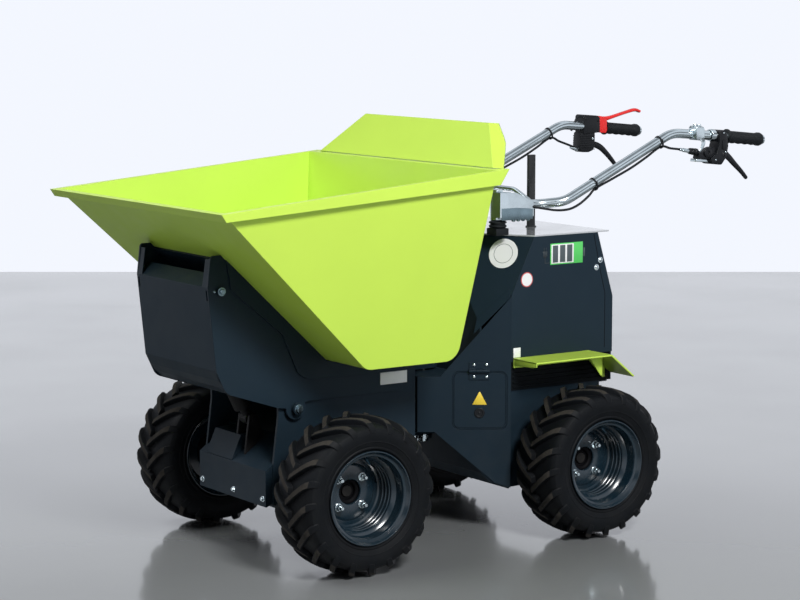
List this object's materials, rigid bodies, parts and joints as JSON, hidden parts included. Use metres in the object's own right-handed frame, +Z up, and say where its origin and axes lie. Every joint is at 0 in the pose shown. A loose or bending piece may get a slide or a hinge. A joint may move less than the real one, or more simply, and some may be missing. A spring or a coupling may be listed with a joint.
{
  "type": "walk-behind site dumper",
  "caption": "Walk-behind battery site dumper with a lime front-tipping skip, articulated dark steel frame, chevron-lug tyres and a twin-grip handlebar.",
  "frame": {"origin": "on the ground under the middle of the machine's length and width", "axes": "+X forward towards the skip's lip, +Y to the machine's left, +Z up"},
  "size_m": [1.8746, 0.902, 1.111],
  "materials": {
    "lime_paint": "gloss",
    "dark_grey_paint": "satin",
    "wheel_grey": "gloss",
    "axle_black": "satin",
    "black_paint": "satin",
    "cover_grey": "brushed",
    "zinc_plate": "bright zinc",
    "tyre_rubber": "matt",
    "black_rubber": "matt",
    "black_plastic": "matt",
    "red_plastic": "gloss"
  },
  "bodies": {
    "rear_frame": {"battery_pack": "black_plastic", "brake_levers": "black_plastic", "control_cables": "black_plastic", "control_housings": "black_plastic", "door_hinges": "dark_grey_paint", "fenders": "lime_paint", "grips": "black_rubber", "handlebar_brackets": "zinc_plate", "handlebar_cross": "zinc_plate", "handlebar_left": "zinc_plate", "handlebar_right": "zinc_plate", "hood_cover": "cover_grey", "hood_front": "dark_grey_paint", "hood_rear_panel": "dark_grey_paint", "hood_side_panels": "dark_grey_paint", "mount_blocks": "black_rubber", "nose_plates": "dark_grey_paint", "pivot_housing": "dark_grey_paint", "rear_axle": "axle_black", "rear_floors": "dark_grey_paint", "rear_side_plates": "dark_grey_paint", "selector_post": "black_paint", "tip_trigger": "red_plastic", "vent_strips": "black_plastic"},
    "front_frame": {"front_side_plates": "dark_grey_paint", "front_cross_plates": "dark_grey_paint", "fork_plates": "dark_grey_paint", "king_pin": "zinc_plate", "axle_guard": "dark_grey_paint", "actuator_mount": "dark_grey_paint", "front_axle": "axle_black", "tilt_pivot_pin": "dark_grey_paint", "guard_box": "dark_grey_paint"},
    "tilting_skip": {"tilt_side_plates": "dark_grey_paint", "skip_brackets": "dark_grey_paint", "tower_front": "dark_grey_paint", "tilt_cross_members": "dark_grey_paint", "actuator_head_pin": "dark_grey_paint", "skip_side_walls": "lime_paint", "skip_front_wall": "lime_paint", "skip_floor": "lime_paint", "skip_rear_wall": "lime_paint", "skip_rim": "lime_paint", "spill_guard": "lime_paint"},
    "door_left": {"door_left": "dark_grey_paint"},
    "door_right": {"door_right": "dark_grey_paint"},
    "actuator_tube": {"actuator_tube": "black_paint"},
    "actuator_rod": {"actuator_rod": "zinc_plate"},
    "wheel_front_left": {"tyre_front_left": "tyre_rubber", "rim_front_left": "wheel_grey"},
    "wheel_front_right": {"tyre_front_right": "tyre_rubber", "rim_front_right": "wheel_grey"},
    "wheel_rear_left": {"tyre_rear_left": "tyre_rubber", "rim_rear_left": "wheel_grey"},
    "wheel_rear_right": {"tyre_rear_right": "tyre_rubber", "rim_rear_right": "wheel_grey"}
  },
  "joints": [
    {"name": "steer", "type": "hinge", "parent": "rear_frame", "child": "front_frame", "pos_m": [0.0485, 0, 0.36], "axis": [0, 0, 1], "range_deg": [-35, 35]},
    {"name": "skip_tip", "type": "hinge", "parent": "front_frame", "child": "tilting_skip", "pos_m": [0.5705, 0, 0.4], "axis": [0, 1, 0], "range_deg": [0, 60]},
    {"name": "actuator_swing", "type": "hinge", "parent": "front_frame", "child": "actuator_tube", "pos_m": [0.6025, 0, 0.352], "axis": [0, 1, 0], "range_deg": [0, 59.4]},
    {"name": "actuator_slide", "type": "slide", "parent": "actuator_tube", "child": "actuator_rod", "axis": [0.457, 0, 0.8895], "range_m": [-0.05788, 0]},
    {"name": "door_left_hinge", "type": "hinge", "parent": "rear_frame", "child": "door_left", "pos_m": [0.01103, 0.20753, 0.447], "axis": [-0.8251, 0.565, 0], "range_deg": [-95, 0]},
    {"name": "door_right_hinge", "type": "hinge", "parent": "rear_frame", "child": "door_right", "pos_m": [0.01103, -0.20753, 0.447], "axis": [-0.8251, -0.565, 0], "range_deg": [0, 95]},
    {"name": "front_left_wheel_spin", "type": "hinge", "parent": "front_frame", "child": "wheel_front_left", "pos_m": [0.5085, 0.358, 0.203], "axis": [0, 1, 0], "continuous": true},
    {"name": "front_right_wheel_spin", "type": "hinge", "parent": "front_frame", "child": "wheel_front_right", "pos_m": [0.5085, -0.358, 0.203], "axis": [0, 1, 0], "continuous": true},
    {"name": "rear_left_wheel_spin", "type": "hinge", "parent": "rear_frame", "child": "wheel_rear_left", "pos_m": [-0.2435, 0.358, 0.203], "axis": [0, 1, 0], "continuous": true},
    {"name": "rear_right_wheel_spin", "type": "hinge", "parent": "rear_frame", "child": "wheel_rear_right", "pos_m": [-0.2435, -0.358, 0.203], "axis": [0, 1, 0], "continuous": true}
  ],
  "couplings": [
    {"joint": "actuator_swing", "follows": "skip_tip", "ratio": 0.9884},
    {"joint": "actuator_slide", "follows": "skip_tip", "m_per_rad": -0.05508}
  ]
}
